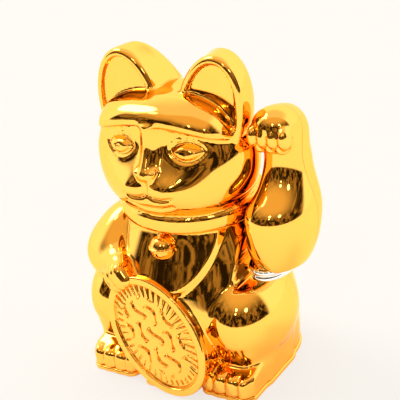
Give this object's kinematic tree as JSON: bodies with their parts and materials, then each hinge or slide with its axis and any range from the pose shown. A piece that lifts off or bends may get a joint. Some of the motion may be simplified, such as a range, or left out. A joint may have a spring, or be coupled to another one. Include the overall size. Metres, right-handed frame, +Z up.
{
  "type": "beckoning cat figurine",
  "caption": "Gold-plated sitting cat figurine holding an oval coin, with a raised arm that rocks on a battery-driven pendulum.",
  "frame": {"origin": "on the ground, under the middle of the sitting body, on the base plate's underside", "axes": "+Z up, the cat faces -Y, its raised arm is on +X (the cat's own left)"},
  "size_m": [0.1107, 0.0807, 0.1483],
  "materials": {
    "gold_plating": "vacuum-metallised gold on moulded plastic",
    "silver_plating": "vacuum-metallised silver on moulded plastic",
    "white_plastic": "moulded",
    "black_plastic": "moulded",
    "battery": "plain printed sleeve over a metal can",
    "nickel_strip": "nickel-plated spring strip and wire",
    "steel": "bright drawn",
    "magnet": "nickel plated",
    "copper_wire": "enamelled copper",
    "board": "solder mask",
    "components": "moulded component cases",
    "red_insulation": "soft PVC sleeve",
    "black_insulation": "soft PVC sleeve",
    "screw_steel": "zinc plated"
  },
  "bodies": {
    "case": {"front_shell": "gold_plating", "rear_shell": "gold_plating", "coin_plaque": "gold_plating", "collar_bell": "gold_plating", "base_plate": "gold_plating", "battery_tray": "black_plastic", "battery_cell": "battery", "positive_contact": "nickel_strip", "negative_contact": "nickel_strip", "swing_frame": "white_plastic", "pivot_pin": "steel", "pin_clip": "steel", "coil_bobbin": "black_plastic", "coil_winding": "copper_wire", "circuit_board": "board", "board_components": "components", "positive_lead": "red_insulation", "negative_lead": "black_insulation", "coil_leads": "copper_wire", "base_screws": "screw_steel", "frame_screws": "screw_steel"},
    "arm": {"arm_front_shell": "gold_plating", "arm_rear_shell": "gold_plating", "arm_plug": "silver_plating", "swing_lever": "white_plastic", "steel_weight": "steel", "drive_magnet": "magnet"},
    "door": {"battery_door": "white_plastic"}
  },
  "joints": [
    {"name": "arm_swing", "type": "hinge", "parent": "case", "child": "arm", "pos_m": [0.0336, -0.01, 0.042], "axis": [1, 0, 0], "range_deg": [-12, 12]},
    {"name": "door_release", "type": "slide", "parent": "case", "child": "door", "axis": [0, 0, -1], "range_m": [0, 0.02]}
  ]
}
